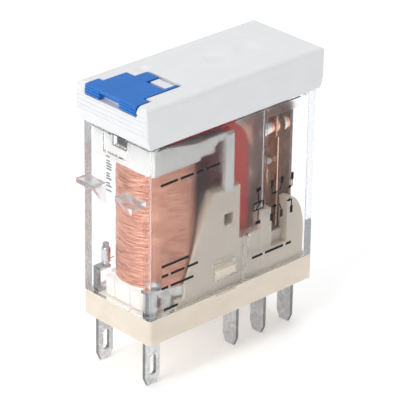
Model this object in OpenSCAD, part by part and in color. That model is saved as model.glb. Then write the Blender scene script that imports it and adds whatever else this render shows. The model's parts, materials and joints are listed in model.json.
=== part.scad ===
// Miniature plug-in relay, two changeover contacts, with a flip-up test lever.
// X runs along the long side, Y across the narrow side, Z up.
// The origin is the middle of the base's underside, which seats on the socket.

/* [Body] */
// Length of the clear case
body_l = 28.9; // [28.7:0.1:29.3]
// Width of the clear case
body_w = 12.7; // [12.6:0.1:13]
// Height of the cream base rim below the case
base_h = 3.5; // [3.2:0.1:3.6]
// Height of the shoulder where the cap meets the case
case_top = 27.4; // [27.3:0.1:28]
// Wall thickness of the clear case
case_wall = 1; // [0.9:0.05:1]

/* [Cap] */
// Length of the cap over its gripping ends
cap_l = 30.9; // [30.6:0.1:31]
// Width of the cap
cap_w = 13.1; // [13:0.05:13.2]
// Height of the top of the cap
cap_top = 32.9; // [32.9:0.1:33.5]
// Number of grip grooves on each end of the cap
grip_grooves = 5; // [0:1:5]

/* [Blades] */
// Distance between neighbouring contact blades
pitch = 5; // [5:0.05:5.1]
// Distance from the base underside to the blade tips
blade_len = 6.7; // [5:0.1:8]
// Thickness of a blade
blade_t = 0.5; // [0.4:0.05:0.5]
// Width of a contact blade
contact_blade_w = 2.5; // [2.4:0.1:2.8]
// Width of a coil blade
coil_blade_w = 2.5; // [2:0.1:2.6]
// Spacing of the two rows of contact blades
contact_rows = 7; // [6.8:0.1:7]
// Spacing of the two coil blades
coil_rows = 9; // [8.8:0.1:9.2]

/* [Motor] */
// Outer diameter of the copper winding
winding_d = 9.6; // [8:0.1:9.6]
// Diameter of the iron core
core_d = 4.6; // [3:0.1:4.8]
// Angle through which the armature closes
armature_angle = 4; // [4:0.5:4.5]

/* [Contacts] */
// Diameter of a fixed contact rivet
fixed_contact_d = 2.6; // [1.6:0.1:2.6]
// Diameter of a moving contact rivet
moving_contact_d = 2.4; // [1.6:0.1:2.4]
// Height of the contacts above the base underside
contact_z = 22.3; // [21.5:0.1:22.4]

/* [Hidden] */
$fn = 48;

front = -1;
rear = 1;
fit = 0.1;          // free fit between moulded pieces
eps = 0.01;
seam = 0.04;         // parting gap below and above the case

// Outer and inner half sizes of the case
half_l = body_l / 2;
half_w = body_w / 2;
inner_x = half_l - case_wall;
inner_y = half_w - case_wall;
hood_x = inner_x + 0.15;        // raised top of the case, inside the cap
hood_y = inner_y + 0.25;
hood_wall = 0.8;
hood_top = cap_top - 1.65;

// Rows and columns of blades
row_y = contact_rows / 2;
coil_y = coil_rows / 2;
nc_x = pitch / 2;
com_x = nc_x + pitch;
no_x = com_x + pitch;
coil_x = -no_x;
strip_t = 0.4;                  // sheet of the terminals above the base
strip_in = 1.2;                 // inner edge of the strips, from the middle
strip_out = 3.6;                // outer edge of the strips
plate_top = 25.2;

// Winding posts of the coil terminals
lug_x = -12;
lug_y = 4.3;
lug_d = 0.8;
shelf_z = 6.6;                  // shelf that carries the post
lead_z = shelf_z + 0.9;         // wire between the winding and the post
post_h = [1.2, 3.4];            // height of the front and the rear post
wrap_h = [0.6, 2.3];            // height of the wire wrapped round each

// Magnet
axis_x = -7.8;                  // axis of the winding
iron_w = 6.8;
iron_t = 1.2;
yoke_face = -0.7;               // outer face of the upright yoke plate
yoke_floor = base_h + 0.1;
pole_z = 25.55;
flange_low = yoke_floor + iron_t + 0.1;
flange_low_top = flange_low + 1.3;
flange_high = 22.9;
flange_high_top = 24.5;
barrel_d = core_d + 1.6;

// Armature hinge: stub pins of the carrier in the bobbin's arms
hinge_x = -0.1;
hinge_z = 25.2;
hinge_pin_d = 0.8;
hinge_end = 4.9;                // outer end of the pins, from the middle
carrier_y = 3.5;                // half width of the carrier
arm_in = 4.5;                   // bobbin arms, from the middle
arm_out = 5.2;

// Contact columns, along X
nc_face = nc_x + pitch;         // face of the normally closed plate towards the spring
com_post = 9.1;
spring_x = com_post + strip_t;
spring_t = 0.2;
spring_foot = 8.45;
spring_top = 23.9;
no_face = no_x - 0.4;
contact_gap = 0.8;
contact_y = 2.3;
rest_gap = 0.04;
nc_head = 1;
no_head = 0.9;
push_z = 17.6;

// Side walls of the base
wall_in = 3.7;
wall_out = inner_y - fit;
post_x0 = -0.95;
post_x1 = 0.5;
post_foot = 16.75;

// Snap window in the case, and the hook that fills it
snap_x0 = -3.1;
snap_x1 = 0.8;
snap_z0 = 5.45;
snap_z1 = 7.6;
slit_x0 = 1.75;                 // relief slit beside the window, at the foot
slit_x1 = 2.55;                 // and at its round upper end
slit_z = 9.95;
slit_w = 0.2;
slit_end_d = 0.7;

// Test lever
lever_x = -8.3;
lever_z = cap_top - 0.6;
lever_low = cap_top - 1;
lever_high = cap_top + 0.05;
lever_end = -cap_l / 2 + 0.05;
lever_tip = -7.35;
lever_y0 = -3.6;
lever_y1 = 3.85;
prong_y = 2.3;
claw_y = 4.65;
window_x = -9.5;                // window over the flag, open to the lever's inner end
window_y0 = -3.1;
window_y1 = 0.1;
heel_x0 = -9.75;                // opening below the lever, for the flag and the riser
lever_pin_d = 0.8;

// Points of an arc around [cx, cy]
function arc(cx, cy, r, a0, a1, n = 8) =
    [for (i = [0:n]) [cx + r * cos(a0 + (a1 - a0) * i / n), cy + r * sin(a0 + (a1 - a0) * i / n)]];

// Outline of a rectangle between two corners, with rounded corners
function round_rect(x0, y0, x1, y1, r) = concat(
    arc(x1 - r, y1 - r, r, 0, 90), arc(x0 + r, y1 - r, r, 90, 180),
    arc(x0 + r, y0 + r, r, 180, 270), arc(x1 - r, y0 + r, r, 270, 360));

// A box between two corners
module box(x0, x1, y0, y1, z0, z1) {
    translate([x0, y0, z0]) cube([x1 - x0, y1 - y0, z1 - z0]);
}

// A box on one side of the middle plane: y runs outwards from the middle
module side_box(side, x0, x1, y0, y1, z0, z1) {
    box(x0, x1, min(side * y0, side * y1), max(side * y0, side * y1), z0, z1);
}

// An outline in X and Z, as thick as y0 to y1
module side_plate(points, y0, y1) {
    translate([0, y1, 0]) rotate([90, 0, 0]) linear_extrude(y1 - y0) polygon(points);
}

// A bar along Y, such as a pin
module y_pin(x, z, d, y0, y1) {
    translate([x, y0, z]) rotate([-90, 0, 0]) cylinder(d = d, h = y1 - y0);
}

// A round bar along X, such as a rivet head
module x_pin(x0, x1, y, z, d) {
    translate([x0, y, z]) rotate([0, 90, 0]) cylinder(d = d, h = x1 - x0);
}

// ---------------------------------------------------------------- base

// Outline of one side wall, seen from the front
function wall_outline() = concat(
    [[-7.9, base_h - 1], [-7.85, 6.4], [-5.3, 12.2], [-3, 17.5], [1.6, 17.5], [1.6, 9.8], [5.4, 9.8],
     [5.4, 12.4], [7.4, 12.3], [7.5, 6.6], [10.3, 6.3], [10.2, 12.7]],
    [for (a = [80:-10:0]) [10.5 + 2.8 * cos(a), 7.4 + 5.4 * sin(a)]],
    [[13.3, base_h - 1]]);

module blade_slot_contact(x, side) {
    side_box(side, x - blade_t / 2 - 0.05, x + blade_t / 2 + 0.05,
        row_y - contact_blade_w / 2 - 0.05, row_y + contact_blade_w / 2 + 0.05, -1, base_h + 2);
}

module blade_slot_coil(side) {
    side_box(side, coil_x - coil_blade_w / 2 - 0.05, coil_x + coil_blade_w / 2 + 0.05,
        coil_y - blade_t / 2 - 0.05, coil_y + blade_t / 2 + 0.05, -1, base_h + 1);
}

module base() {
    color([0.89, 0.87, 0.79]) difference() {
        union() {
            linear_extrude(base_h)
                polygon(round_rect(-half_l + 0.05, -half_w, half_l - 0.05, half_w, 0.4));
            // locating plug inside the case
            box(-inner_x + fit, inner_x - fit, -inner_y + fit, -3.75, base_h - 1, base_h + 0.9);
            box(-inner_x + fit, inner_x - fit, 3.75, inner_y - fit, base_h - 1, base_h + 0.9);
            box(0.6, inner_x - fit, -inner_y + fit, inner_y - fit, base_h - 1, base_h + 0.9);
            for (side = [front, rear]) {
                side_plate(wall_outline(), side < 0 ? -wall_out : wall_in, side < 0 ? -wall_in : wall_out);
                // low, thin web between the two towers beside the contacts
                side_box(side, 7, 10.7, wall_in, wall_in + 0.4, base_h, 8);
                // snap hook with a sloping top
                translate([snap_x0 + 0.15, 0, 0]) rotate([90, 0, 90])
                    linear_extrude(snap_x1 - snap_x0 - 0.3)
                        polygon([[side * (wall_out - 0.2), snap_z0 + 0.1], [side * (half_w - 0.2), snap_z0 + 0.1],
                            [side * (half_w - 0.3), snap_z1 - 1.05], [side * (wall_out - 0.2), snap_z1 - 0.95]]);
            }
        }
        for (side = [front, rear]) {
            // notch for the bobbin's leg, and the peep hole below it
            side_box(side, post_x0 - 0.1, post_x1 + 0.1, arm_in - 0.1, half_w, post_foot, 20);
            side_box(side, -1.1, 0.5, wall_in - 1, half_w, 12.4, 14);
            // slot for a screwdriver under the snap tab
            side_box(side, snap_x0 + 0.1, snap_x1, half_w - 0.5, half_w + 1, base_h - 0.35, base_h + eps);
            blade_slot_coil(side);
            for (x = [nc_x, com_x, no_x]) blade_slot_contact(x, side);
        }
        // clearance for the coil terminals' shelves at the end of the plug
        for (side = [front, rear])
            side_box(side, -inner_x, -9.3, 2.4, half_w - 0.9, base_h, base_h + 2);
        // room for the winding beside the walls
        translate([axis_x, 0, flange_low - 0.05]) cylinder(d = winding_d + 0.3, h = 20);
        // shallow moulded pockets in the underside
        box(-10.6, -2, -4.2, 4.2, -1, 0.5);
        for (x = [(nc_x + com_x) / 2, (com_x + no_x) / 2])
            box(x - 1.5, x + 1.5, -4.2, 4.2, -1, 0.5);
    }
}

// ---------------------------------------------------------------- case

module clip_lug(side) {
    lug_out = half_l + 1.85;
    // level plate
    side_box(side, -lug_out, -half_l + 0.2, 1.8, 5.5, 19.4, 20.1);
    // triangular gusset on its inner edge
    side_plate([[-half_l + 0.2, 16.9], [-half_l + 0.2, 19.5], [-lug_out + 0.2, 19.5]],
        side < 0 ? -2.9 : 1.9, side < 0 ? -1.9 : 2.9);
}

module case() {
    color([0.93, 0.95, 0.96, 0.35]) union() {
        case_shell();
        // inner rib on each long wall, beside the contacts
        for (side = [front, rear]) side_box(side, 5.5, 6.1, inner_y - 0.12, inner_y + 0.3, 12.7, case_top - 0.7);
    }
}

module case_shell() {
    difference() {
        union() {
            translate([0, 0, base_h + seam]) linear_extrude(case_top - base_h - 2 * seam)
                polygon(round_rect(-half_l, -half_w, half_l, half_w, 0.5));
            translate([0, 0, case_top - 1]) linear_extrude(hood_top - case_top + 1)
                polygon(round_rect(-hood_x, -hood_y, hood_x, hood_y, 0.4));
            for (side = [front, rear]) clip_lug(side);
        }
        box(-inner_x, inner_x, -inner_y, inner_y, base_h - 1, case_top - 0.8);
        box(-hood_x + hood_wall, hood_x - hood_wall, -hood_y + hood_wall, hood_y - hood_wall,
            case_top - 2, hood_top - 0.8);
        // opening under the lever's window
        box(heel_x0, -6.8, -3.5, 2.6, hood_top - 2, hood_top + 1);
        for (side = [front, rear]) {
            // snap window and the relief slit beside it
            side_box(side, snap_x0, snap_x1, inner_y - 1, half_w + 1, snap_z0, snap_z1);
            side_plate([[slit_x0, base_h - 1], [slit_x0 + slit_w, base_h - 1], [slit_x1 + slit_w, slit_z], [slit_x1, slit_z]],
                side < 0 ? -half_w - 1 : inner_y - 0.5, side < 0 ? 0.5 - inner_y : half_w + 1);
            y_pin(slit_x1 + slit_w / 2, slit_z, slit_end_d,
                side < 0 ? -half_w - 1 : inner_y - 0.5, side < 0 ? 0.5 - inner_y : half_w + 1);
        }
        // vent pocket under the cap, in the coil end
        box(-half_l - 1, -half_l + 0.45, -2.05, 2.6, 24.25, case_top - 0.5);
        box(-half_l - 1, -inner_x + 1, -1.65, 1, 25.5, case_top - 0.3);
    }
}

// ---------------------------------------------------------------- cap

module cap_block() {
    bottom_in = 0.8;            // how far the ends draw in at the bottom
    bottom_rise = 1.9;
    x1 = cap_l / 2;
    y1 = cap_w / 2;
    intersection() {
        // side view, with rounded top ends and drawn-in bottom ends
        side_plate(concat(
            arc(x1 - 0.9, cap_top - 0.9, 0.9, 0, 90), arc(-x1 + 0.9, cap_top - 0.9, 0.9, 90, 180),
            [[-x1, case_top + bottom_rise], [-x1 + bottom_in, case_top], [x1 - bottom_in, case_top],
             [x1, case_top + bottom_rise]]), -y1, y1);
        // end view, with rounded top edges
        translate([-x1, 0, 0]) rotate([90, 0, 90]) linear_extrude(cap_l)
            polygon(concat(arc(y1 - 0.8, cap_top - 0.8, 0.8, 0, 90), arc(-y1 + 0.8, cap_top - 0.8, 0.8, 90, 180),
                [[-y1, case_top], [y1, case_top]]));
        // plan view, with rounded corners
        translate([0, 0, case_top - 1]) linear_extrude(cap_top - case_top + 2)
            polygon(round_rect(-x1, -y1, x1, y1, 0.5));
    }
}

module cap() {
    recess_low = lever_low - 0.05;
    gap = 0.15;
    groove_step = 0.6;
    groove_h = 0.25;
    groove_d = 0.07;
    color([0.96, 0.97, 0.98]) difference() {
        cap_block();
        // cavity over the raised top of the case
        box(-hood_x - fit, hood_x + fit, -hood_y - fit, hood_y + fit, case_top - 1, hood_top + fit);
        // recess for the lever
        box(lever_end - 1, lever_tip + gap, lever_y0 - gap, prong_y + gap, recess_low, cap_top + 1);
        box(lever_end - 1, -9.35 + gap, lever_y0 - gap, lever_y1 + gap, recess_low, cap_top + 1);
        box(lever_end - 1, -13.1 + gap, -claw_y - gap, claw_y + gap, recess_low, cap_top + 1);
        box(lever_end - 1, lever_end + 0.75 + gap, -claw_y - gap, claw_y + gap, cap_top - 1.45, cap_top + 1);
        // opening for the flag and the lever's heel
        box(heel_x0, -6.95, lever_y0 - gap, prong_y + gap, case_top, cap_top + 1);
        // bearings for the lever's stub pins
        y_pin(lever_x, lever_z, lever_pin_d + 0.1, lever_y0 - 0.8, prong_y + 0.8);
        // finger dimple behind the lever and two on top
        translate([-6.9, 3.5, cap_top + 2.95]) sphere(r = 3.2, $fn = 48);
        for (x = [2.4, 7.7]) translate([x, 0, cap_top + 9]) sphere(r = 9.25, $fn = 64);
        // grip grooves on both ends
        for (i = [1:1:grip_grooves]) for (end = [-1, 1])
            box(end * cap_l / 2 - groove_d, end * cap_l / 2 + groove_d, -cap_w, cap_w,
                case_top + 1.3 + groove_step * i, case_top + 1.3 + groove_step * i + groove_h);
    }
}

// ---------------------------------------------------------------- test lever and flag

module test_lever() {
    color([0.09, 0.38, 0.78]) union() {
        difference() {
            union() {
                box(lever_end + 0.3, lever_tip, lever_y0, prong_y, lever_low, lever_high);
                box(lever_end + 0.3, -9.35, lever_y0, lever_y1, lever_low, lever_high);
                box(lever_end, -13.25, -claw_y, claw_y, lever_low, lever_high);
            }
            box(window_x, lever_tip + 1, window_y0, window_y1, lever_low - 1, lever_high + 1);
            // slope towards the claws, and the finger gap between them
            translate([lever_end - 1, 0, lever_high]) rotate([0, -8, 0])
                translate([0, -claw_y - 1, 0.08]) cube([2.6, 2 * claw_y + 2, 2]);
            box(lever_end - 1, lever_end + 0.55, -1.65, 2.1, lever_low - 1, lever_high - 0.45);
        }
        // claws that hook over the end of the cap
        for (y = [[-claw_y, -1.65], [2.1, claw_y]]) {
            box(lever_end, lever_end + 0.75, y[0], y[1], lever_low - 0.3, lever_low + 0.2);
            for (z = [lever_low - 0.12, lever_low + 0.28, lever_low + 0.66])
                y_pin(lever_end + 0.02, z, 0.24, y[0], y[1]);
        }
        y_pin(lever_x, lever_z, lever_pin_d, lever_y0 - 0.6, lever_y0 + 0.2);
        y_pin(lever_x, lever_z, lever_pin_d, prong_y - 0.2, prong_y + 0.6);
    }
}

module indicator_flag() {
    color([0.84, 0.84, 0.87]) union() {
        box(window_x + 0.62, -7.45, window_y0 + 0.12, window_y1 - 0.12, cap_top - 0.95, cap_top - 0.1);
        box(-8.7, -7.8, -2, -1, 28.2, cap_top - 0.9);
    }
}

// ---------------------------------------------------------------- magnet

module bobbin() {
    color([0.93, 0.94, 0.93]) difference() {
        union() {
            translate([axis_x, 0, flange_low]) cylinder(d = barrel_d, h = flange_high_top - flange_low);
            // lower flange, with a block and two round feet at the coil end
            box(-11.6, -2.3, -3.6, 3.6, flange_low, flange_low_top);
            translate([axis_x, 0, flange_low]) cylinder(d = winding_d, h = flange_low_top - flange_low);
            translate([0, 0, base_h + 0.1]) linear_extrude(flange_low_top - base_h - 0.3)
                polygon(round_rect(-12.9, -3.6, -11.5, 3.6, 0.6));
            for (y = [-4.25, 4.25]) translate([-10.2, y, base_h + 0.1]) cylinder(d = 1.3, h = 2);
            for (side = [front, rear]) side_box(side, -10.5, -9.9, 3.3, 4.3, flange_low, base_h + 2.1);
            // upper flange, with cheeks that stand beside the armature
            box(-13.1, -5.35, -arm_out, arm_out, flange_high, flange_high_top);
            box(-6, -2.3, -arm_in, arm_in, flange_high, flange_high_top);
            box(-13.1, -12.6, -arm_out, arm_out, flange_high, 26.7);
            for (side = [front, rear]) {
                side_plate([[-13.1, flange_high], [-5.6, flange_high], [-5.6, 25.3], [-9, 25.9], [-11, 26.3], [-13.1, 26.3]],
                    side < 0 ? -arm_out : arm_in - 0.3, side < 0 ? 0.3 - arm_in : arm_out);
                // arm beside the armature
                side_plate([[-6, 23.6], [-2.6, 23.9], [-2.1, 24.3], [-2.1, 24.8], [-2.6, 25.1], [-6, 25.3]],
                    side < 0 ? -hinge_end : arm_in - 0.3, side < 0 ? 0.3 - arm_in : hinge_end);
                // thin link to the leg, with an open saddle for the hinge's pin
                side_box(side, -4, post_x1, arm_in, hinge_end + 0.05, hinge_z - 0.8, hinge_z + 0.1);
                // leg that stands in the base's notch
                side_box(side, post_x0, post_x1, arm_in, arm_out, post_foot, hinge_z - 0.2);
            }
        }
        translate([axis_x, 0, 0]) cylinder(d = core_d + 0.1, h = 40);
        y_pin(hinge_x, hinge_z, hinge_pin_d + 0.1, -hinge_end - 0.02, hinge_end + 0.02);
        // grooves in the end of the block
        for (y = [-1.4, 1.4]) translate([-12.95, y, base_h]) cylinder(d = 0.5, h = 4);
        // seat for the pole shoe
        translate([axis_x, 0, flange_high_top - 0.4]) cylinder(d = 8.2, h = 4);
    }
}

module coil_winding() {
    color([0.85, 0.52, 0.42]) translate([axis_x, 0, flange_low_top + 0.02]) difference() {
        cylinder(d = winding_d, h = flange_high - flange_low_top - 0.04);
        translate([0, 0, -1]) cylinder(d = barrel_d + 0.02, h = 40);
    }
}

module core() {
    color([0.6, 0.61, 0.63]) translate([axis_x, 0, 0]) {
        translate([0, 0, yoke_floor + iron_t]) cylinder(d = core_d, h = pole_z - yoke_floor - iron_t);
        translate([0, 0, yoke_floor]) cylinder(d = 3, h = iron_t + 1);
        translate([0, 0, pole_z - 1]) cylinder(d = 8, h = 1);
    }
}

module yoke() {
    color([0.55, 0.56, 0.58]) difference() {
        union() {
            box(-11.4, yoke_face, -iron_w / 2, iron_w / 2, yoke_floor, yoke_floor + iron_t);
            box(yoke_face - iron_t, yoke_face, -iron_w / 2, iron_w / 2, yoke_floor, pole_z);
        }
        translate([axis_x, 0, 0]) cylinder(d = 3, h = 10);
    }
}

// ---------------------------------------------------------------- armature group

// Turns what is drawn with the armature closed to its open, resting place
module opened() {
    translate([hinge_x, 0, hinge_z]) rotate([0, armature_angle, 0]) translate([-hinge_x, 0, -hinge_z])
        children();
}

module armature() {
    color([0.5, 0.51, 0.53]) union() {
        opened() box(-12.2, 0.25, -iron_w / 2, iron_w / 2, pole_z + 0.07, pole_z + 1.17);
        // leg in front of the yoke
        box(yoke_face + 0.05, yoke_face + 1.05, -iron_w / 2, iron_w / 2, 19, 26.6);
    }
}

module carrier() {
    web_x = yoke_face + 1.07;
    color([0.76, 0.2, 0.16]) difference() {
        union() {
            // arm over the armature, with the riser under the lever's heel
            opened() {
                box(-9.2, 1.2, -3.8, 3.8, pole_z + 1.19, pole_z + 1.9);
                // lips beside the armature
                for (side = [front, rear]) side_box(side, -9.2, -1.4, iron_w / 2 + 0.05, 3.8, pole_z + 0.4, pole_z + 1.5);
            }
            box(-8.9, -7.8, 0.35, 2.05, 27.6, lever_z - 1.13);
            // web and cheeks that hang down between coil and contacts
            box(web_x, web_x + 1, -carrier_y, carrier_y, 9.2, 27.3);
            for (side = [front, rear]) {
                side_plate([[web_x, 9.2], [4.7, 9.2], [4.5, 20.8], [4.3, 22.7], [3.8, 23.8], [2.9, 24.7],
                    [1.6, 25.6], [web_x, 26]],
                    side < 0 ? -carrier_y : 2.75, side < 0 ? -2.75 : carrier_y);
                // ear with the stub pin of the hinge
                side_box(side, hinge_x - 0.9, web_x + 1, 3.45, 4.25, 24, 27.3);
                side_box(side, hinge_x - 0.9, web_x + 1, 3, 4.25, 26.9, 27.3);
                y_pin(hinge_x, hinge_z, hinge_pin_d, side < 0 ? -hinge_end : 4, side < 0 ? -4 : hinge_end);
            }
        }
        // socket for the pusher
        box(web_x - 1, web_x + 2, -0.85, 0.85, push_z - 0.95, push_z + 0.95);
    }
}

module contact_pusher() {
    web_x = yoke_face + 1.07;
    nose_d = 0.8;
    nose_x = spring_x - 0.05 - nose_d / 2;
    color([0.9, 0.9, 0.87]) union() {
        box(web_x, nose_x, -0.8, 0.8, push_z - 0.9, push_z + 0.9);
        box(nose_x - 0.35, nose_x, -3, 3, push_z - 0.4, push_z + 0.4);
        y_pin(nose_x, push_z, nose_d, -3, 3);
        // shoulder that stops the pusher against the carrier's web
        box(web_x + 1.02, web_x + 1.6, -1.5, 1.5, push_z - 1.3, push_z + 1.3);
    }
}

// ---------------------------------------------------------------- terminals

// Plan of a blade that points down, with a chamfered tip; width along the first axis
function blade_outline(w, top) = [
    [-w / 2, top], [-w / 2, -blade_len + 1.1], [-w * 0.3, -blade_len],
    [w * 0.3, -blade_len], [w / 2, -blade_len + 1.1], [w / 2, top]];

module contact_blade(x, side) {
    translate([x - blade_t / 2, side * row_y, 0]) rotate([90, 0, 90])
        linear_extrude(blade_t) polygon(blade_outline(contact_blade_w, base_h + 1));
}

module coil_terminal(side) {
    leg_x = -inner_x + fit;
    leg_y = inner_y - 0.2;
    color([0.78, 0.79, 0.8]) union() {
        difference() {
            translate([coil_x, side * coil_y + blade_t / 2, 0]) rotate([90, 0, 0])
                linear_extrude(blade_t) polygon(blade_outline(coil_blade_w, base_h));
            // soldering eye, a long slot with round ends
            for (z = [-4.9, -2.9]) y_pin(coil_x + 0.1, z, 1, side * coil_y - 1, side * coil_y + 1);
            side_box(side, coil_x - 0.4, coil_x + 0.6, coil_y - 1, coil_y + 1, -4.9, -2.9);
        }
        // leg, shelf and winding post above the base
        side_box(side, leg_x, -12.5, coil_y - blade_t / 2, coil_y + blade_t / 2, base_h - 0.5, base_h + 0.5);
        side_box(side, leg_x, -12.5, coil_y - blade_t / 2, leg_y, base_h + 0.05, base_h + 0.5);
        side_box(side, leg_x, -12.5, coil_y + blade_t / 2, leg_y, base_h + 0.05, shelf_z + 0.4);
        side_box(side, leg_x, -11.5, lug_y - 0.4, leg_y, shelf_z, shelf_z + 0.4);
        translate([lug_x, side * lug_y, shelf_z + 0.1]) cylinder(d = lug_d, h = post_h[side == front ? 0 : 1]);
    }
}

// Copper end of the winding, run from the coil to the post
module coil_lead(side) {
    lead_d = 0.24;
    coil_end = axis_x - sqrt(pow(winding_d / 2, 2) - pow(lug_y, 2)) - 0.2;
    color([0.8, 0.45, 0.35]) union() {
        translate([lug_x + 0.5, side * lug_y, lead_z]) rotate([0, 90, 0])
            cylinder(d = lead_d, h = coil_end - lug_x - 0.5);
        // turns round the post
        translate([lug_x, side * lug_y, lead_z - 0.3]) difference() {
            cylinder(d = 1.15, h = wrap_h[side == front ? 0 : 1]);
            translate([0, 0, -1]) cylinder(d = lug_d + 0.02, h = 4);
        }
    }
}

module nc_terminal(side) {
    color([0.8, 0.8, 0.8]) union() {
        contact_blade(nc_x, side);
        side_box(side, nc_x - blade_t / 2, nc_x + blade_t / 2, strip_in, strip_out, base_h + 0.95, 6.8);
        side_box(side, nc_x - blade_t / 2, nc_face, strip_in, strip_out, 6.4, 6.8);
        side_box(side, nc_face - strip_t, nc_face, strip_in, strip_out, 6.4, plate_top);
    }
}

module com_terminal(side) {
    color([0.8, 0.8, 0.8]) union() {
        contact_blade(com_x, side);
        side_box(side, com_x - blade_t / 2, com_x + blade_t / 2, strip_in, strip_out, base_h + 0.95, 5.4);
        side_box(side, com_x - blade_t / 2, spring_x, strip_in, strip_out, 5, 5.4);
        side_box(side, com_post, spring_x, strip_in, strip_out, 5, spring_foot - 0.05);
        // lug that the spring is welded to
        side_box(side, spring_x, spring_x + spring_t, strip_in, strip_out, 6.4, spring_foot - 0.05);
    }
}

module no_terminal(side) {
    color([0.76, 0.62, 0.5]) union() {
        contact_blade(no_x, side);
        side_box(side, no_face, no_face + strip_t, 0.6, strip_out, base_h + 0.95, plate_top);
    }
}

// Rivet that is headed on both faces of a plate from x0 to x1
module rivet(side, x0, x1, left_head, right_head, d_left, d_right) {
    y = side * contact_y;
    x_pin(x0 - left_head, x0, y, contact_z, d_left);
    x_pin(x1, x1 + right_head, y, contact_z, d_right);
}

module nc_contact(side) {
    color([0.85, 0.85, 0.83])
        rivet(side, nc_face - strip_t, nc_face, 0.3, nc_head, fixed_contact_d - 0.5, fixed_contact_d);
}

module no_contact(side) {
    color([0.82, 0.5, 0.38])
        rivet(side, no_face, no_face + strip_t, no_head, 0.3, fixed_contact_d, fixed_contact_d - 0.5);
}

module moving_spring(side) {
    color([0.8, 0.47, 0.33]) difference() {
        side_box(side, spring_x, spring_x + spring_t, 0.7, 3.9, spring_foot, spring_top);
        // long slot that softens the spring, and shoulders beside the head
        side_box(side, spring_x - 1, spring_x + 1, 2.05, 2.55, spring_foot + 1.5, 16);
        side_box(side, spring_x - 1, spring_x + 1, 3.6, 4.5, 21.2, spring_top + 1);
    }
}

module moving_contact(side) {
    left_head = spring_x - nc_face - nc_head - rest_gap;
    right_head = no_face - no_head - contact_gap - spring_x - spring_t;
    color([0.86, 0.86, 0.84])
        rivet(side, spring_x, spring_x + spring_t, left_head, right_head, moving_contact_d, moving_contact_d);
}

module contact_barrier() {
    color([0.87, 0.84, 0.76]) side_plate([
        [5.9, base_h + 0.92], [5.9, 14.5], [10.2, 14.5], [10.2, plate_top + 0.5], [inner_x - 0.15, plate_top + 0.5],
        [inner_x - 0.15, base_h + 0.92]], -0.35, 0.35);
}

base();
case();
cap();
test_lever();
indicator_flag();
bobbin();
coil_winding();
core();
yoke();
armature();
carrier();
contact_pusher();
coil_terminal(front);  // coil_terminal_front
coil_terminal(rear);  // coil_terminal_rear
coil_lead(front);  // coil_lead_front
coil_lead(rear);  // coil_lead_rear
nc_terminal(front);  // nc_terminal_front
nc_terminal(rear);  // nc_terminal_rear
com_terminal(front);  // com_terminal_front
com_terminal(rear);  // com_terminal_rear
no_terminal(front);  // no_terminal_front
no_terminal(rear);  // no_terminal_rear
nc_contact(front);  // nc_contact_front
nc_contact(rear);  // nc_contact_rear
no_contact(front);  // no_contact_front
no_contact(rear);  // no_contact_rear
moving_spring(front);  // moving_spring_front
moving_spring(rear);  // moving_spring_rear
moving_contact(front);  // moving_contact_front
moving_contact(rear);  // moving_contact_rear
contact_barrier();
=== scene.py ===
"""Looks of a miniature plug-in relay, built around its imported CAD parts.

Lengths are in metres, in the part's own frame: X along the long side, Z up, the base's underside at 0.
"""
import json
import math
import random

import bmesh
import bpy
from mathutils import Matrix, Vector, noise


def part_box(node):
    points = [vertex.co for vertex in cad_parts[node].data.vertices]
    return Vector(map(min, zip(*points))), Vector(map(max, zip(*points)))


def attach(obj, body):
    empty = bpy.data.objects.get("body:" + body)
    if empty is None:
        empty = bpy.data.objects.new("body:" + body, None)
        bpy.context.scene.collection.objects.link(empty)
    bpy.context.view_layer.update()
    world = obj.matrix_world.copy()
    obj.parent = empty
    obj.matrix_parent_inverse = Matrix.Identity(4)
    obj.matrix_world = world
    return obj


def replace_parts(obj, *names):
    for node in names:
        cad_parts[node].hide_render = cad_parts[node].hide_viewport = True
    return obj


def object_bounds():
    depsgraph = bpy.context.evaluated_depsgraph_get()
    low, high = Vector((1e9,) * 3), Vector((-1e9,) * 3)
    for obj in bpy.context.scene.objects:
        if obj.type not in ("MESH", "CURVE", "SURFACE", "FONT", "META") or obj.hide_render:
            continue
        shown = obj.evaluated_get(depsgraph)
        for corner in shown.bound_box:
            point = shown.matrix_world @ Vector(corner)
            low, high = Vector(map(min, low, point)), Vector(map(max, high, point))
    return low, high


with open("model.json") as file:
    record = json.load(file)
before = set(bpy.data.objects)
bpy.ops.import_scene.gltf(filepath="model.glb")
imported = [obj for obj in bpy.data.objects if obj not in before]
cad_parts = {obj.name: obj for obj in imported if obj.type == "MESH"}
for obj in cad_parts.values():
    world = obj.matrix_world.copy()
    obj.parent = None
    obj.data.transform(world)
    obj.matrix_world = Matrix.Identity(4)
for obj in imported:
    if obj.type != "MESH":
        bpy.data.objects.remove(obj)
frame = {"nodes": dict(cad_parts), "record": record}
CAD_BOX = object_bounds()
MM = 0.001

# ------------------------------------------------------------------ camera

CAM_AZIMUTH = -43.55            # degrees, 0 looks along +Y
CAM_ELEVATION = 25.93
CAM_ROLL = 0.87
CAM_DISTANCE = 338.6 * MM
CAM_TARGET = Vector((-0.07, 0, 13.72)) * MM
CAM_NEAR, CAM_FAR = 0.01, 10
SENSOR = 36.0
FOCAL = 236.9


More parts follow.
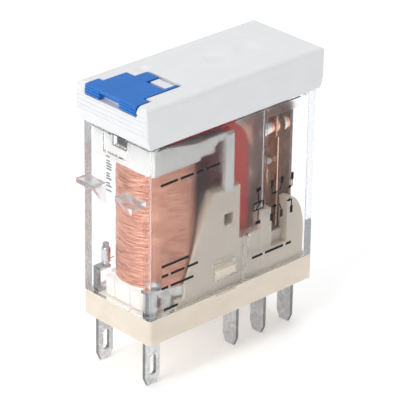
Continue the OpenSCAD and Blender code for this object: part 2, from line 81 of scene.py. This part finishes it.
def make_camera():
    """Looks at the relay's coil end and front side from above."""
    a, e, roll = (math.radians(v) for v in (CAM_AZIMUTH, CAM_ELEVATION, CAM_ROLL))
    back = Vector((math.sin(a) * math.cos(e), -math.cos(a) * math.cos(e), math.sin(e)))
    right = Vector((0, 0, 1)).cross(back).normalized()
    up = back.cross(right)
    side = math.cos(roll) * right + math.sin(roll) * up
    top = math.cos(roll) * up - math.sin(roll) * right
    data = bpy.data.cameras.new("camera")
    data.sensor_width = SENSOR
    data.lens = FOCAL
    data.clip_start, data.clip_end = CAM_NEAR, CAM_FAR
    cam = bpy.data.objects.new("camera", data)
    bpy.context.scene.collection.objects.link(cam)
    turn = Matrix((side, top, back)).transposed().to_4x4()
    cam.matrix_world = Matrix.Translation(CAM_TARGET + back * CAM_DISTANCE) @ turn
    bpy.context.scene.camera = cam


make_camera()

# ------------------------------------------------------------------ material tools


class Nodes:
    """Short names for building one material's node tree."""

    def __init__(self, name):
        self.mat = bpy.data.materials.new(name)
        self.mat.use_nodes = True
        self.tree = self.mat.node_tree
        self.shader = self.tree.nodes["Principled BSDF"]
        self.out = self.tree.nodes["Material Output"]
        places = self.tree.nodes.new("ShaderNodeTexCoord").outputs
        self.coords, self.normals = places["Object"], places["Normal"]

    def link(self, output, socket):
        self.tree.links.new(output, socket)

    def put(self, node, key, value):
        """Fills a node's input with a value, or links an output to it."""
        if isinstance(value, bpy.types.NodeSocket):
            self.link(value, node.inputs[key])
        else:
            node.inputs[key].default_value = value

    def add(self, kind, **inputs):
        """Makes a node; an input is a value or an output to link."""
        node = self.tree.nodes.new("ShaderNode" + kind)
        for key, value in inputs.items():
            self.put(node, key.replace("_", " "), value)
        return node

    def set(self, **inputs):
        """Fills the shader's own sockets."""
        for key, value in inputs.items():
            self.put(self.shader, key.replace("_", " "), value)

    def noise(self, size, detail=3.0, rough=0.55, stretch=(1, 1, 1), distortion=0.0):
        """Noise whose features are about size metres across, longer where stretch is over 1."""
        mapping = self.add("Mapping", Vector=self.coords, Scale=[1 / (size * s) for s in stretch])
        node = self.add("TexNoise", Vector=mapping.outputs["Vector"], Scale=1.0, Detail=detail,
                        Roughness=rough, Distortion=distortion)
        return node.outputs["Fac"]

    def ramp(self, fac, low, high, start=0.35, end=0.65):
        """Blends from low to high as fac goes from start to end. Both are greys or both colours."""
        node = self.add("ValToRGB", Fac=fac)
        for stop, place, value in zip(node.color_ramp.elements, (start, end), (low, high)):
            stop.position = place
            stop.color = (value, value, value, 1) if isinstance(value, (int, float)) else (*value, 1)
        return node.outputs["Color"]

    def mix(self, fac, a, b):
        """Mixes two colours."""
        node = self.tree.nodes.new("ShaderNodeMix")
        node.data_type = "RGBA"
        for key, value in (("Factor", fac), ("A", a), ("B", b)):
            socket = next(s for s in node.inputs if s.name == key and s.enabled)
            if isinstance(value, bpy.types.NodeSocket):
                self.link(value, socket)
            else:
                socket.default_value = value if isinstance(value, float) else (*value, 1)
        return next(s for s in node.outputs if s.enabled)

    def maths(self, operation, *values):
        """One step of arithmetic on sockets or numbers."""
        node = self.tree.nodes.new("ShaderNodeMath")
        node.operation = operation
        for place, value in enumerate(values):
            self.put(node, place, value)
        return node.outputs["Value"]

    def bump(self, height, depth, strength, under=None):
        """Bump of the given depth in metres, on top of another bump."""
        node = self.add("Bump", Height=height, Distance=depth, Strength=strength)
        if under:
            self.link(under, node.inputs["Normal"])
        return node.outputs["Normal"]


def tint(colour, factor):
    """A colour made lighter or darker."""
    return tuple(min(1.0, c * factor) for c in colour)


# ------------------------------------------------------------------ materials

PLASTIC_IOR = 1.49
FLOW_SIZE = 3.2 * MM            # flow marks in moulded plastic
FLECK_SIZE = 0.35 * MM
SHEEN_SIZE = 1.1 * MM           # patches of more and less gloss
WAVE_SIZE, WAVE_DEPTH = 6 * MM, 0.05 * MM
SOFT_RADIUS = (1.0, 0.85, 0.65)
SOFT_DEPTH = 0.8 * MM


def plastic(name, colour, rough=0.4, grain=0.09 * MM, grain_depth=0.004 * MM, soft=0.0, spread=0.06):
    """Moulded plastic: faint flow marks in the colour, fine spark-eroded grain, patches of gloss."""
    n = Nodes(name)
    flow = n.noise(FLOW_SIZE, detail=4, stretch=(1.6, 1, 0.7), distortion=0.6)
    flecks = n.ramp(n.noise(FLECK_SIZE, detail=2), 0.0, 0.25, 0.62, 0.8)
    body = n.ramp(flow, tint(colour, 1 - spread), tint(colour, 1 + spread * 0.5), 0.3, 0.7)
    fine = n.bump(n.noise(grain, detail=2, rough=0.6), grain_depth, 0.5)
    n.set(Base_Color=n.mix(flecks, body, tint(colour, 1 - 2 * spread)),
          Roughness=n.ramp(n.noise(SHEEN_SIZE), rough - 0.06, rough + 0.08),
          Normal=n.bump(n.noise(WAVE_SIZE, detail=1), WAVE_DEPTH, 0.25, fine),
          IOR=PLASTIC_IOR)
    if soft:
        n.set(Subsurface_Weight=soft, Subsurface_Radius=SOFT_RADIUS, Subsurface_Scale=SOFT_DEPTH)
    return n.mat


GRAIN_SIZE, GRAIN_DEPTH = 0.7 * MM, 0.004 * MM
MARK_SIZE = 0.3 * MM
DENT_SIZE, DENT_DEPTH = 0.9 * MM, 0.02 * MM


def metal(name, colour, dark, rough=0.3, grain_dir=(0.12, 0.12, 1.0), spots=0.35, metallic=1.0, beyond=None,
          cloud_size=1.6 * MM, cloudy=0.82, painted_edge_axis=None):
    """Rolled metal strip: drawn grain along one direction, cloudy plating, small dark marks.
    beyond = (axis, place, colour) gives another colour past a place along an axis, and the last argument
    gives the axis that the thin edges face; those edges are painted dark, a painted reflection of dark
    surroundings."""
    n = Nodes(name)
    cloud = n.noise(cloud_size, detail=5, distortion=0.8)
    grain = n.noise(GRAIN_SIZE, detail=4, rough=0.7, stretch=grain_dir)
    marks = n.ramp(n.noise(MARK_SIZE, detail=5, rough=0.75), 0.0, spots, 0.6, 0.74)
    shade = n.ramp(cloud, 0.0, 0.7)
    body = n.mix(shade, colour, tint(colour, cloudy))
    if beyond:
        axis, place, other = beyond
        past = n.maths("GREATER_THAN", n.add("SeparateXYZ", Vector=n.coords).outputs[axis], place)
        body = n.mix(past, body, n.mix(shade, other, tint(other, cloudy)))
    # Painted reflection: faces turned along this axis, the thin edges, are painted dark as they look when
    # they mirror dark surroundings.
    if painted_edge_axis:
        painted_edge = n.maths("ABSOLUTE", n.add("SeparateXYZ", Vector=n.normals).outputs[painted_edge_axis])
        body = n.mix(n.ramp(painted_edge, 0.0, 0.75, 0.35, 0.8), body, dark)
    gloss = n.mix(0.5, n.ramp(cloud, rough - 0.07, rough + 0.1), n.ramp(grain, rough - 0.1, rough + 0.16))
    dents = n.noise(DENT_SIZE, detail=2)
    n.set(Base_Color=n.mix(marks, body, dark), Roughness=gloss, Metallic=metallic,
          Normal=n.bump(dents, DENT_DEPTH, 0.5, n.bump(grain, GRAIN_DEPTH, 0.6)))
    return n.mat


CASE_COLOUR = (0.97, 0.975, 0.985, 1)
CASE_SHINE = (0.4, 0.4, 0.4, 1)
CASE_IOR = 1.3
CASE_DEEP = (0.45, 0.5, 0.55, 1)
CASE_DENSITY = 25               # share of light lost per metre of clear plastic
CASE_RIPPLE = 7 * MM
MATT_END = 5.5 * MM             # the matt texture of the long walls ends at their inner rib
MATT_ABOVE = 25.3 * MM          # and covers a band below the cap
MATT_TOP = 27.3 * MM
MATT_FACE = 5.35 * MM           # it is on the inner face of the wall
MATT_DEPTH = 0.06 * MM
MATT_LUGS = -14.5 * MM          # the lugs beyond this x are matt too
MATT_ROUGH = 0.42


def clear_plastic():
    """Clear polycarbonate that lamps shine through. Its long walls are matt beside the coil."""
    n = Nodes("clear_case")
    place = n.add("SeparateXYZ", Vector=n.coords).outputs
    beside_coil = n.maths("LESS_THAN", place["X"], MATT_END)
    top_band = n.maths("GREATER_THAN", place["Z"], MATT_ABOVE)
    on_wall = n.maths("COMPARE", n.maths("ABSOLUTE", place["Y"]), MATT_FACE, MATT_DEPTH)
    below_cap = n.maths("LESS_THAN", place["Z"], MATT_TOP)
    long_walls = n.maths("MULTIPLY", n.maths("MAXIMUM", beside_coil, top_band), on_wall)
    lugs = n.maths("LESS_THAN", place["X"], MATT_LUGS)
    matt = n.maths("MAXIMUM", n.maths("MULTIPLY", long_walls, below_cap), lugs)
    polish = n.ramp(n.noise(2.5 * MM, detail=5, rough=0.7), 0.0, 0.04, 0.5, 0.75)
    ripple = n.noise(CASE_RIPPLE, detail=1, stretch=(1, 1, 1.8))
    n.set(Base_Color=CASE_COLOUR, Specular_Tint=CASE_SHINE, IOR=CASE_IOR, Transmission_Weight=1.0,
          Roughness=n.mix(matt, polish, (MATT_ROUGH,) * 3), Normal=n.bump(ripple, 0.03 * MM, 0.25))
    mix = n.add("MixShader", Fac=n.add("LightPath").outputs["Is Shadow Ray"])
    n.link(n.shader.outputs["BSDF"], mix.inputs[1])
    n.link(n.add("BsdfTransparent").outputs["BSDF"], mix.inputs[2])
    n.link(mix.outputs["Shader"], n.out.inputs["Surface"])
    deep = n.add("VolumeAbsorption", Color=CASE_DEEP, Density=CASE_DENSITY)
    n.link(deep.outputs["Volume"], n.out.inputs["Volume"])
    return n.mat


def copper_wire():
    """Enamelled copper: warm, with lighter and darker runs along the wire."""
    n = Nodes("copper_wire")
    runs = n.noise(0.9 * MM, detail=4, rough=0.65, stretch=(2.2, 2.2, 0.16))
    patch = n.noise(2.2 * MM, stretch=(1.5, 1.5, 0.5), distortion=0.5)
    body = n.ramp(runs, (0.46, 0.16, 0.12), (1.0, 0.56, 0.38), 0.38, 0.62)
    n.set(Base_Color=n.mix(n.ramp(patch, 0.0, 0.55), body, (0.7, 0.3, 0.22)),
          Roughness=n.ramp(runs, 0.24, 0.42), Metallic=0.8, Coat_Weight=0.15, Coat_Roughness=0.25,
          Normal=n.bump(n.noise(0.12 * MM, stretch=(2, 2, 0.5)), 0.006 * MM, 0.6))
    return n.mat


def ink():
    """Pad-printed black ink with a slightly worn film."""
    n = Nodes("print_ink")
    film = n.noise(0.18 * MM)
    n.set(Base_Color=n.ramp(film, (0.006, 0.006, 0.007), (0.02, 0.02, 0.022)),
          Roughness=n.ramp(film, 0.55, 0.75), Specular_IOR_Level=0.25)
    return n.mat


TIN, COPPER = (0.68, 0.69, 0.71), (0.93, 0.57, 0.45)
ALLOY, SILVER = (0.74, 0.6, 0.52), (0.86, 0.85, 0.82)
TARNISH = (0.1, 0.09, 0.1)
MOTTLE = 0.7 * MM               # size of the clouds in dipped tin
TINNED_BELOW = 3.6 * MM         # the strips are tinned where they plug in and bare above the base
FACING = 0.3 * MM               # silver facing of the copper rivets


def faced_rivet(name, node):
    """Copper rivet with a silver facing on the side towards the coil."""
    return metal(name, SILVER, (0.45, 0.3, 0.25), rough=0.24, spots=0.2,
                 beyond=("X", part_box(node)[0].x + FACING, COPPER))


MATERIALS = {
    "base_plastic": plastic("base_plastic", (0.83, 0.735, 0.62), rough=0.42, soft=0.25),
    "clear_case": clear_plastic(),
    "cap_plastic": plastic("cap_plastic", (0.82, 0.83, 0.845), rough=0.36, spread=0.02, soft=0.15),
    "lever_plastic": plastic("lever_plastic", (0.001, 0.155, 0.58), rough=0.26, grain_depth=0.006 * MM),
    "flag_plastic": plastic("flag_plastic", (0.8, 0.8, 0.87), rough=0.38, spread=0.03),
    "bobbin_plastic": plastic("bobbin_plastic", (0.9, 0.885, 0.85), spread=0.03, soft=0.35),
    "copper_wire": copper_wire(),
    # Dark steel; its warm purple cast is a painted reflection of the red carrier.
    "iron": metal("iron", (0.26, 0.2, 0.21), (0.09, 0.06, 0.07), rough=0.38, grain_dir=(1, 0.1, 0.1)),
    "carrier_plastic": plastic("carrier_plastic", (0.72, 0.035, 0.022), rough=0.34, spread=0.1, soft=0.1),
    # the thin edges facing X get a painted dark reflection
    "tinned_metal": metal("tinned_metal", (0.78, 0.79, 0.81), (0.1, 0.1, 0.11), rough=0.33, spots=0.7,
                          cloud_size=MOTTLE, cloudy=0.55, painted_edge_axis="X"),
    "silver_contact": metal("silver_contact", SILVER, (0.5, 0.45, 0.4), rough=0.22, spots=0.2),
    "spring_bronze": metal("spring_bronze", (0.88, 0.52, 0.36), (0.4, 0.2, 0.14), rough=0.24, spots=0.25),
}
INK = ink()
# the thin edges facing Y get a painted dark reflection
TERMINAL = metal("terminal_strip", TIN, TARNISH, rough=0.4, spots=0.6, metallic=0.6,
                 beyond=("Z", TINNED_BELOW, ALLOY), cloud_size=MOTTLE, cloudy=0.6, painted_edge_axis="Y")
FIXED_RIVET = faced_rivet("fixed_rivet", "no_contact_front")
MOVING_RIVET = faced_rivet("moving_rivet", "moving_contact_front")
SOLDER = metal("solder", (0.7, 0.7, 0.72), TARNISH, rough=0.26, grain_dir=(0.3, 0.3, 0.3), spots=0.85)
FROSTED = plastic("frosted_relief", (0.3, 0.31, 0.33), rough=0.5)
OWN_LOOK = {                    # nodes whose look differs from the rest of their slot; the yoke's maroon is painted shade and painted red reflection
    # Painted shade and painted reflection: the yoke's steel is coloured dark maroon, as it looks in shade
    # beside the red carrier.
    "yoke": metal("yoke_steel_painted_shade", (0.24, 0.03, 0.045), (0.06, 0.01, 0.015), rough=0.5, grain_dir=(1, 0.1, 0.1)),
}
for end in ("front", "rear"):
    OWN_LOOK.update({kind + "_terminal_" + end: TERMINAL for kind in ("nc", "com", "no")})
    OWN_LOOK["no_contact_" + end] = FIXED_RIVET
    OWN_LOOK["moving_contact_" + end] = MOVING_RIVET

# ------------------------------------------------------------------ piece tools

BODY_OF = {node: body for body, nodes in frame["record"]["behaviour"]["bodies"].items() for node in nodes}
SLOT_OF = {part["node"]: part["material_slot"] for part in frame["record"]["subparts"]}


def to_mesh(bm, name, rounded=True):
    """Turns a bmesh into a mesh, shaded smooth where it is rounded."""
    mesh = bpy.data.meshes.new(name)
    bm.to_mesh(mesh)
    bm.free()
    for face in mesh.polygons:
        face.use_smooth = rounded
    return mesh


def flat_mesh(bm, name):
    bmesh.ops.recalc_face_normals(bm, faces=bm.faces)
    return to_mesh(bm, name, rounded=False)


def new_object(name, mesh, slot=None, material=None, body="root"):
    """Links a mesh as a piece that rides on a body. Without a material it gets its slot's."""
    obj = bpy.data.objects.new(name, mesh)
    bpy.context.scene.collection.objects.link(obj)
    mesh.materials.append(material or MATERIALS[slot])
    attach(obj, body)
    return obj


WELD = 1e-7                     # vertices closer than this are one
FLAT_ANGLE = math.radians(0.6)  # faces that meet at less than this are one
SHARP_ANGLE = math.radians(32)  # edges that turn more than this are rounded
FLATNESS = 70                   # how far large faces keep their own normals


def moulded(node, width, segments=2):
    """A copy of a CAD node with clean faces and rounded edges, which stands for the node."""
    bm = bmesh.new()
    bm.from_mesh(frame["nodes"][node].data)
    bmesh.ops.remove_doubles(bm, verts=bm.verts, dist=WELD)
    bmesh.ops.dissolve_limit(bm, angle_limit=FLAT_ANGLE, verts=bm.verts, edges=bm.edges)
    piece = node + "_piece"
    obj = new_object(piece, to_mesh(bm, piece), SLOT_OF[node], OWN_LOOK.get(node), BODY_OF[node])
    bevel = obj.modifiers.new("bevel", "BEVEL")
    bevel.width = width
    bevel.segments = segments
    bevel.limit_method = "ANGLE"
    bevel.angle_limit = SHARP_ANGLE
    obj.modifiers.new("normals", "WEIGHTED_NORMAL").weight = FLATNESS
    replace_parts(obj, node)


EDGE = {                        # width of the rounded edges in mm, for a node or for its front and rear pair
    "base": 0.12, "case": 0.1, "cap": 0.12, "test_lever": 0.2, "indicator_flag": 0.06, "bobbin": 0.1,
    "core": 0.12, "yoke": 0.14, "armature": 0.14, "carrier": 0.12, "contact_pusher": 0.08,
    "contact_barrier": 0.1, "coil_terminal": 0.07, "nc_terminal": 0.06, "com_terminal": 0.06,
    "no_terminal": 0.06, "moving_spring": 0.03,
}
RIVETS = ("nc_contact", "no_contact", "moving_contact")
RIVET_EDGE = 0.18 * MM

for name, width in EDGE.items():
    for node in [name] if name in SLOT_OF else [name + "_front", name + "_rear"]:
        moulded(node, width * MM)
for node in SLOT_OF:
    if node.startswith(RIVETS):
        moulded(node, RIVET_EDGE, segments=4)

# ------------------------------------------------------------------ wire

TURN_PITCH = 0.21 * MM
ROWS_PER_TURN = 4
WIND_SIDES = 90
WIND_WALL = 1.6 * MM            # thickness of the wound layer
WIND_INSET = 0.02 * MM
GROOVE = 0.055 * MM             # depth between two turns
UNEVEN = 0.05 * MM              # how far whole turns lie below the highest ones
DRIFT, DRIFT_SCALE, DRIFT_STEP = 0.035 * MM, 2.3, 0.9
TURN_RISE = 0.05 * MM


def bridge(bm, a, b):
    """Joins two closed rings of vertices with quads."""
    for k in range(len(a)):
        after = (k + 1) % len(a)
        bm.faces.new((a[k], a[after], b[after], b[k]))


def winding():
    """The copper winding: rows of turns that stand a little proud of one another."""
    low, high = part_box("coil_winding")
    centre = (low + high) / 2
    outer = (high.x - low.x) / 2
    dice = random.Random(5)
    turns = int((high.z - low.z) / TURN_PITCH)
    sunk = [dice.uniform(0, UNEVEN) for _ in range(turns + 1)]
    bm = bmesh.new()

    def ring(z, radius_at, rise=0.0):
        verts = []
        for k in range(WIND_SIDES):
            a = math.tau * k / WIND_SIDES
            r = radius_at(a)
            height = min(max(z + rise * math.sin(a), low.z), high.z)
            verts.append(bm.verts.new((centre.x + r * math.cos(a), centre.y + r * math.sin(a), height)))
        return verts

    def inner(a):
        return outer - WIND_WALL

    def turn_radius(turn, phase):
        groove = GROOVE * (1 - math.sin(math.pi * phase) ** 0.6)

        def radius_at(a):
            around = DRIFT_SCALE * Vector((math.cos(a), math.sin(a), 0))
            drift = noise.noise(around + Vector((0, 0, turn * DRIFT_STEP)))
            return outer - WIND_INSET - groove - sunk[turn] - DRIFT * max(0.0, drift)
        return radius_at

    rings = [ring(low.z, inner)]
    for turn in range(turns):
        for phase in (row / ROWS_PER_TURN for row in range(ROWS_PER_TURN)):
            z = low.z + (turn + phase) * (high.z - low.z) / turns
            rings.append(ring(z, turn_radius(turn, phase), TURN_RISE))
    rings.append(ring(high.z, turn_radius(turns, 0)))
    rings.append(ring(high.z, inner))
    for a, b in zip(rings, rings[1:] + rings[:1]):
        bridge(bm, a, b)
    obj = new_object("winding_piece", to_mesh(bm, "winding_piece"), "copper_wire")
    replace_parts(obj, "coil_winding")


def tube(name, points, radius, sides=8):
    """A round wire through the points, with closed ends."""
    bm = bmesh.new()
    tangent = (points[1] - points[0]).normalized()
    normal = tangent.orthogonal().normalized()
    rings = []
    for i, point in enumerate(points):
        ahead = (points[min(i + 1, len(points) - 1)] - points[max(i - 1, 0)]).normalized()
        normal = tangent.rotation_difference(ahead) @ normal
        tangent = ahead
        side = tangent.cross(normal)
        rings.append([bm.verts.new(point + radius * (math.cos(a) * normal + math.sin(a) * side))
                      for a in (math.tau * k / sides for k in range(sides))])
    for a, b in zip(rings, rings[1:]):
        bridge(bm, a, b)
    bm.faces.new(rings[0][::-1])
    bm.faces.new(rings[-1])
    return to_mesh(bm, name)


LEAD_WIRE = 0.06 * MM           # radius of the wire
WRAP_PITCH = 0.29 * MM
WRAP_STEPS = 14                 # points in a turn round the post
WRAP_MARGIN = 0.25 * MM         # bare post above and below the turns
WRAP_SHAKE = 0.01 * MM
RUN_STEPS = 8
RUN_DROP, RUN_SAG = 0.1 * MM, 0.12 * MM
SOLDER_END, SOLDER_RISE = 0.12 * MM, 0.05 * MM
SOLDER_OVER = 1.05              # radius of the solder over that of the turns
LUMPS, LUMP_AROUND, LUMP_ALONG, LUMP_START = 0.14, 1.4, 3.4, 7     # height, count each way, noise offset


def lead_path(low, high, post, wrap):
    """Turns down the post, then a slack run to the winding."""
    height = high.z - low.z
    margin = min(WRAP_MARGIN, 0.2 * height)
    count = WRAP_STEPS * max(2, round(height / WRAP_PITCH))
    dice = random.Random(3)
    points = []
    for i in range(count + 1):
        a = math.tau * i / WRAP_STEPS + 0.5 * math.pi
        z = high.z - margin - (height - 2 * margin) * i / count
        r = wrap - LEAD_WIRE + WRAP_SHAKE * dice.uniform(-1, 1)
        points.append(post + Vector((r * math.cos(a), r * math.sin(a), z)))
    start = points[-1]
    stop = Vector((high.x, start.y, start.z - RUN_DROP))
    for t in (i / RUN_STEPS for i in range(1, RUN_STEPS + 1)):
        points.append(start.lerp(stop, t) - Vector((0, 0, RUN_SAG * math.sin(math.pi * t))))
    return points


def solder_bead(name, low, high, post, wrap):
    """A lumpy bead of solder over the turns on the post."""
    bm = bmesh.new()
    bmesh.ops.create_uvsphere(bm, u_segments=28, v_segments=30, radius=1.0)
    half = (high.z - low.z) / 2 + SOLDER_END
    middle = post + Vector((0, 0, (high.z + low.z) / 2 + SOLDER_RISE))
    for vert in bm.verts:
        along = vert.co.z
        flat = Vector((vert.co.x, vert.co.y, 0)).normalized()
        lump = noise.noise(flat * LUMP_AROUND + Vector((0, 0, along * LUMP_ALONG + LUMP_START)))
        r = wrap * SOLDER_OVER * (1 + LUMPS * lump) * (1 - abs(along) ** 7) ** 0.5
        vert.co = middle + flat * r + Vector((0, 0, along * half))
    return to_mesh(bm, name)


def coil_lead(end):
    """The wire end wound round its post and soldered, and its run to the winding."""
    low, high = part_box("coil_lead_" + end)
    wrap = (high.y - low.y) / 2
    post = Vector((low.x + wrap, (low.y + high.y) / 2, 0))
    wire = tube("lead_" + end, lead_path(low, high, post, wrap), LEAD_WIRE)
    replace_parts(new_object("lead_" + end, wire, "copper_wire"), "coil_lead_" + end)
    bead = solder_bead("solder_" + end, low, high, post, wrap)
    new_object("solder_" + end, bead, "tinned_metal", SOLDER)


winding()
coil_lead("front")
coil_lead("rear")

# ------------------------------------------------------------------ print and relief on the case, and painted shade behind the vent

FACE_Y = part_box("case")[0].y
FACE_X = -14.45 * MM            # the case's coil end, behind its lugs
FILM = 0.012 * MM               # thickness of the ink
SUNK = 0.2                      # share of a bar's thickness that reaches into the surface
TO_FRONT, TO_COIL_END, UP = Vector((0, -1, 0)), Vector((-1, 0, 0)), Vector((0, 0, 1))


def strip(bm, origin, along, across, out, length, width, thick):
    """A thin flat bar from origin: its length runs along, its width is centred across."""
    outline = ((0, -width / 2), (length, -width / 2), (length, width / 2), (0, width / 2))
    v = [bm.verts.new(origin + along * x + across * y + out * z)
         for z in (-SUNK * thick, thick) for x, y in outline]
    for face in ((0, 1, 2, 3), (7, 6, 5, 4), (0, 4, 5, 1), (1, 5, 6, 2), (2, 6, 7, 3), (3, 7, 4, 0)):
        bm.faces.new([v[i] for i in face])


def stroke(bm, x0, z0, x1, z1, width):
    """An inked line on the front of the case, in millimetres."""
    a, b = (Vector((x * MM, FACE_Y, z * MM)) for x, z in ((x0, z0), (x1, z1)))
    along = (b - a).normalized()
    strip(bm, a, along, along.cross(TO_FRONT), TO_FRONT, (b - a).length, width * MM, FILM)


# Sizes and places of the printed symbols, in millimetres. Heights are measured from SYMBOL_Z.
THIN, THICK = 0.19, 0.5
SYMBOL_Z = 13.82
COIL_X, COIL_REACH, COIL_TAB = 4.2, 2.36, 0.45
COIL_BOX = 0.92, 0.5            # half width and half height
CONTACT_X = 6.64, 8.42, 10.26   # a fixed contact, the common one and the other fixed one
TIP_Z, NEAR_Z, FAR_Z = 0.95, 1.88, 2.9
ARROW_X = 7.7, 9.3
ARROW_LENGTH, ARROW_HALF, ARROW_STEM = 0.7, 0.27, 0.4
LEAN = 0.4                      # how far the common contact's blade leans


def arrow(bm, x, z, way):
    """A filled arrowhead with its tip at x, pointing along way."""
    tip, back, half = x * MM, (x - ARROW_LENGTH * way) * MM, ARROW_HALF * MM
    under, over = ([bm.verts.new(p) for p in
                    ((tip, y, z * MM), (back, y, z * MM + half), (back, y, z * MM - half))]
                   for y in (FACE_Y + SUNK * FILM, FACE_Y - FILM))
    bm.faces.new(under)
    bm.faces.new(over[::-1])
    bridge(bm, under, over)


def coil_symbol(bm):
    """A crossed box between two terminals."""
    wide, tall = COIL_BOX
    for way in (-1, 1):
        end, side = SYMBOL_Z + way * COIL_REACH, SYMBOL_Z + way * tall
        stroke(bm, COIL_X - COIL_TAB, end, COIL_X + COIL_TAB, end, THICK)
        stroke(bm, COIL_X, side, COIL_X, end, THIN)
        stroke(bm, COIL_X - wide, side, COIL_X + wide, side, THIN)
        stroke(bm, COIL_X + way * wide, SYMBOL_Z - tall, COIL_X + way * wide, SYMBOL_Z + tall, THIN)
    stroke(bm, COIL_X - COIL_TAB, SYMBOL_Z - tall, COIL_X + COIL_TAB, SYMBOL_Z + tall, THIN)


def contact_symbol(bm, way):
    """A changeover contact: a leaning blade between two arrows. It stands above or below the middle."""
    tip, near, far = (SYMBOL_Z + way * z for z in (TIP_Z, NEAR_Z, FAR_Z))
    left, common, right = CONTACT_X
    for x in CONTACT_X:
        stroke(bm, x, near, x, far, THICK)
    stroke(bm, common, near, common - LEAN, tip, THIN)
    for x, point, side in ((left, ARROW_X[0], 1), (right, ARROW_X[1], -1)):
        stroke(bm, x, near, x, tip, THIN)
        stroke(bm, x, tip, point - ARROW_STEM * side, tip, THIN)
        arrow(bm, point, tip, side)


def schematic():
    """Coil symbol and two changeover contacts, as on any relay of this kind."""
    bm = bmesh.new()
    coil_symbol(bm)
    contact_symbol(bm, -1)
    contact_symbol(bm, 1)
    new_object("schematic_print", flat_mesh(bm, "schematic_print"), material=INK)


BAR, BAR_GAP = 0.36, 0.45       # height of a plain bar and the space after it, in mm
PRINT_LINES = (                 # start, height and the lengths of the plain bars in each line, in mm
    (-12.8, 22.0, (2.9, 2.2, 1.2, 2.4)),
    (-12.5, 10.7, (4.6,)),
    (-12.5, 9.3, (1.1, 2.3, 1.9)),
    (-12.5, 7.6, (1.1, 3.9)),
    (-12.1, 4.5, (2.4,)),
    (3.3, 6.6, (1.9, 3.3, 1.0)),
)


def plain_lines():
    """Plain bars where a maker prints ratings."""
    bm = bmesh.new()
    for x, z, lengths in PRINT_LINES:
        for length in lengths:
            stroke(bm, x, z, x + length, z, BAR)
            x += length + BAR_GAP
    new_object("plain_print", flat_mesh(bm, "plain_print"), material=INK)


RELIEF_Y = 1.8 * MM
RELIEF_Z = 19.2, 23.9           # lowest and highest bar, in mm
RELIEF_BAR, RELIEF_DEPTH = 0.2 * MM, 0.06 * MM


def relief():
    """A column of short raised bars, moulded in the coil end of the case."""
    bm = bmesh.new()
    dice = random.Random(11)
    z, stop = RELIEF_Z
    while z < stop:
        length = dice.choice((0.9, 0.9, 0.6))
        origin = Vector((FACE_X, RELIEF_Y, z * MM))
        strip(bm, origin, TO_FRONT, UP, TO_COIL_END, length * MM, RELIEF_BAR, RELIEF_DEPTH)
        z += dice.choice((0.36, 0.36, 0.62))
    new_object("case_relief", flat_mesh(bm, "case_relief"), "clear_case", FROSTED)


# Painted shade: this dark plate stands in for the unlit hollow behind the vent.
PAINTED_SHADE_AT = Vector((-13.12, 1.85, 25.78)) * MM       # middle of its rear edge
PAINTED_SHADE_SIZE = 2.6 * MM, 1.65 * MM, 0.08 * MM


def painted_vent_shade():
    """Painted shade: a dark plate on the bobbin's end wall that stands for the unlit hollow seen through the
    vent.
    """
    bm = bmesh.new()
    strip(bm, PAINTED_SHADE_AT, TO_FRONT, UP, TO_COIL_END, *PAINTED_SHADE_SIZE)
    shade = plastic("painted_vent_shade", (0.16, 0.16, 0.165), rough=0.45, spread=0.2)
    new_object("painted_vent_shade", flat_mesh(bm, "painted_vent_shade"), "bobbin_plastic", shade)


schematic()
plain_lines()
relief()
painted_vent_shade()

# ------------------------------------------------------------------ floor and light

FLOOR_REACH = 1.5
FLOOR_GAP = 0.02 * MM
FLOOR_COLOUR = (0.93, 0.93, 0.935, 1)
FLOOR_GLOW = 0.3                # keeps the floor white to its far edge
SKY_STOPS = (0.1, 0.75)         # sines of the heights where the soft surround is brightest and dimmest
SKY_GREYS = (0.68, 0.3)
LAMP_TARGET = Vector((0, 0, 0.013))
LAMPS = (                       # name, place, size and power
    ("key", (-0.5, -0.05, 0.45), (0.22, 0.5), 1.75),
    ("top", (0.05, 0.1, 0.6), (0.5, 0.4), 1.6),
)


def make_floor():
    bm = bmesh.new()
    bmesh.ops.create_grid(bm, x_segments=8, y_segments=8, size=FLOOR_REACH)
    mesh = to_mesh(bm, "floor", rounded=False)
    floor = bpy.data.objects.new("floor", mesh)
    bpy.context.scene.collection.objects.link(floor)
    floor.location.z = CAD_BOX[0].z - FLOOR_GAP
    n = Nodes("floor")
    n.set(Base_Color=FLOOR_COLOUR, Roughness=0.9, Specular_IOR_Level=0.1,
          Emission_Color=(1, 1, 1, 1), Emission_Strength=FLOOR_GLOW)
    mesh.materials.append(n.mat)


def make_lamp(name, place, size, power):
    """A rectangular soft box that points at the relay."""
    data = bpy.data.lights.new(name, "AREA")
    data.shape = "RECTANGLE"
    data.size, data.size_y = size
    data.energy = power
    lamp = bpy.data.objects.new(name, data)
    bpy.context.scene.collection.objects.link(lamp)
    lamp.location = place
    lamp.rotation_mode = "QUATERNION"
    lamp.rotation_quaternion = (LAMP_TARGET - Vector(place)).to_track_quat("-Z", "Y")


def make_sky():
    """A soft grey surround, brightest near the horizon."""
    world = bpy.data.worlds.new("world")
    bpy.context.scene.world = world
    world.use_nodes = True
    nodes, links = world.node_tree.nodes, world.node_tree.links
    height = nodes.new("ShaderNodeSeparateXYZ")
    sky = nodes.new("ShaderNodeValToRGB")
    links.new(nodes.new("ShaderNodeTexCoord").outputs["Generated"], height.inputs["Vector"])
    links.new(height.outputs["Z"], sky.inputs["Fac"])
    links.new(sky.outputs["Color"], nodes["Background"].inputs["Color"])
    for stop, place, grey in zip(sky.color_ramp.elements, SKY_STOPS, SKY_GREYS):
        stop.position = place
        stop.color = (grey, grey, grey, 1)


make_floor()
make_sky()
for lamp in LAMPS:
    make_lamp(*lamp)

scene = bpy.context.scene
scene.view_settings.view_transform = "Standard"
scene.cycles.max_bounces = 32   # light passes many clear walls
scene.cycles.transmission_bounces = scene.cycles.glossy_bounces = 28
